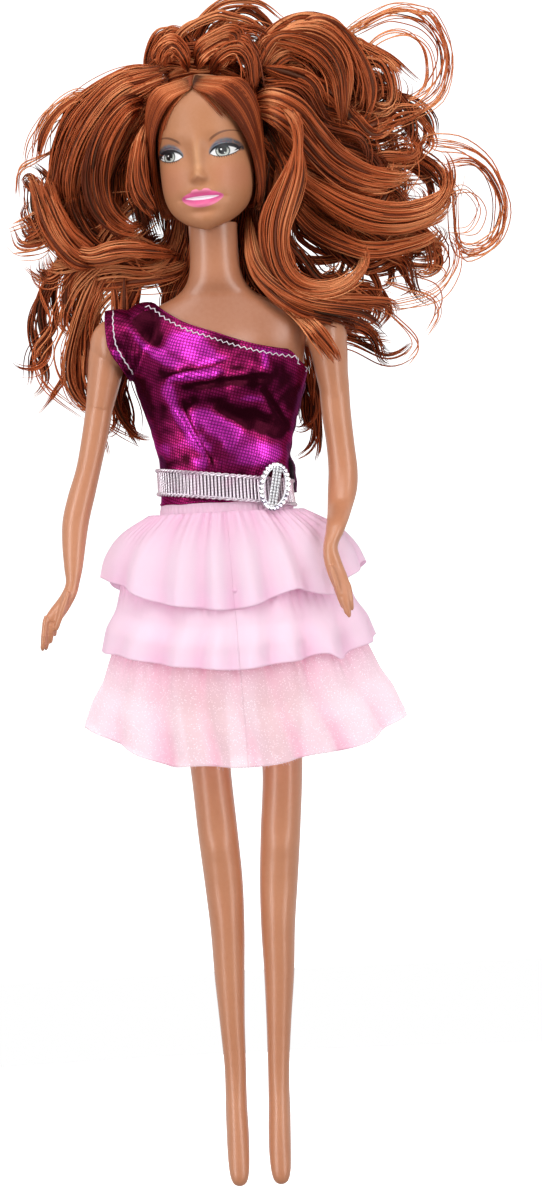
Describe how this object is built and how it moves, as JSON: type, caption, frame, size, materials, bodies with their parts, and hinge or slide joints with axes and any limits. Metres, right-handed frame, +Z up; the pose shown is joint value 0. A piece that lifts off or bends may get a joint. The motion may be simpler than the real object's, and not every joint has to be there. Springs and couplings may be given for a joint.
{
  "type": "fashion doll",
  "caption": "Fashion doll with turning head, swinging arms and legs, long rooted hair, one-shoulder foil top, beaded belt and tiered ruffled skirt.",
  "frame": {"origin": "the middle of the waist, under the belt, where a doll stand's clip or a hand holds it", "axes": "+Z up along the body to the head, +X to the doll's own left, -Y the way it faces"},
  "size_m": [0.1297, 0.0456, 0.3055],
  "materials": {
    "body_plastic": "glossy tan hard vinyl",
    "head_vinyl": "satin soft vinyl with a painted face",
    "knob_plastic": "plain moulded",
    "hair_fibre": "shiny auburn fibre in loose curls",
    "lame_cloth": "fuchsia foil dots on dark knit",
    "hook_strip": "matt hook and loop tape",
    "silver_braid": "ribbed metallic braid",
    "rhinestone": "small faceted stones in silver cups",
    "pink_satin": "pale pink satin",
    "glitter_organza": "sheer pale pink organza with fine glitter"
  },
  "bodies": {
    "torso": {"torso_front": "body_plastic", "torso_back": "body_plastic", "neck_knob": "knob_plastic", "bodice_front": "lame_cloth", "bodice_back": "lame_cloth", "bodice_shoulder": "lame_cloth", "bodice_closure": "hook_strip", "belt_band": "silver_braid", "belt_buckle": "rhinestone", "skirt_waistband": "pink_satin", "skirt_tier_top": "pink_satin", "skirt_tier_middle": "pink_satin", "skirt_tier_bottom": "glitter_organza"},
    "head": {"head": "head_vinyl", "hair_cap": "hair_fibre", "hair_front_right": "hair_fibre", "hair_front_left": "hair_fibre", "hair_side_right": "hair_fibre", "hair_tips_right": "hair_fibre", "hair_nape_right": "hair_fibre", "hair_arm_right": "hair_fibre", "hair_strand_right": "hair_fibre", "hair_crown_rolls": "hair_fibre", "hair_roll_top": "hair_fibre", "hair_curl_inner": "hair_fibre", "hair_sweep_upper": "hair_fibre", "hair_sweep_middle": "hair_fibre", "hair_sweep_lower": "hair_fibre", "hair_lock_shoulder": "hair_fibre", "hair_lock_low": "hair_fibre", "hair_back": "hair_fibre", "hair_tail_right": "hair_fibre", "hair_tail_left": "hair_fibre", "hair_loop_top": "hair_fibre", "hair_loop_side": "hair_fibre"},
    "arm_right": {"arm_right": "body_plastic"},
    "arm_left": {"arm_left": "body_plastic"},
    "leg_right": {"leg_right": "body_plastic"},
    "leg_left": {"leg_left": "body_plastic"}
  },
  "joints": [
    {"name": "head_turn", "type": "hinge", "parent": "torso", "child": "head", "pos_m": [0, 0, 0.0695], "axis": [0, 0, 1], "range_deg": [-70, 85], "deforming": ["hair_side_right", "hair_tips_right", "hair_nape_right", "hair_arm_right", "hair_strand_right", "hair_crown_rolls", "hair_roll_top", "hair_curl_inner", "hair_sweep_upper", "hair_sweep_middle", "hair_sweep_lower", "hair_lock_shoulder", "hair_lock_low", "hair_back", "hair_tail_right", "hair_tail_left", "hair_loop_top", "hair_loop_side"]},
    {"name": "shoulder_right_swing", "type": "hinge", "parent": "torso", "child": "arm_right", "pos_m": [-0.0226, 0, 0.0385], "axis": [-1, 0, 0], "range_deg": [-50, 170], "deforming": ["bodice_shoulder"]},
    {"name": "shoulder_left_swing", "type": "hinge", "parent": "torso", "child": "arm_left", "pos_m": [0.0226, 0, 0.0385], "axis": [-1, 0, 0], "range_deg": [-50, 170]},
    {"name": "hip_right_swing", "type": "hinge", "parent": "torso", "child": "leg_right", "pos_m": [-0.0105, 0, -0.026], "axis": [-1, 0, 0], "range_deg": [-30, 90], "deforming": ["skirt_tier_top", "skirt_tier_middle", "skirt_tier_bottom"]},
    {"name": "hip_left_swing", "type": "hinge", "parent": "torso", "child": "leg_left", "pos_m": [0.0105, 0, -0.026], "axis": [-1, 0, 0], "range_deg": [-30, 90]}
  ]
}
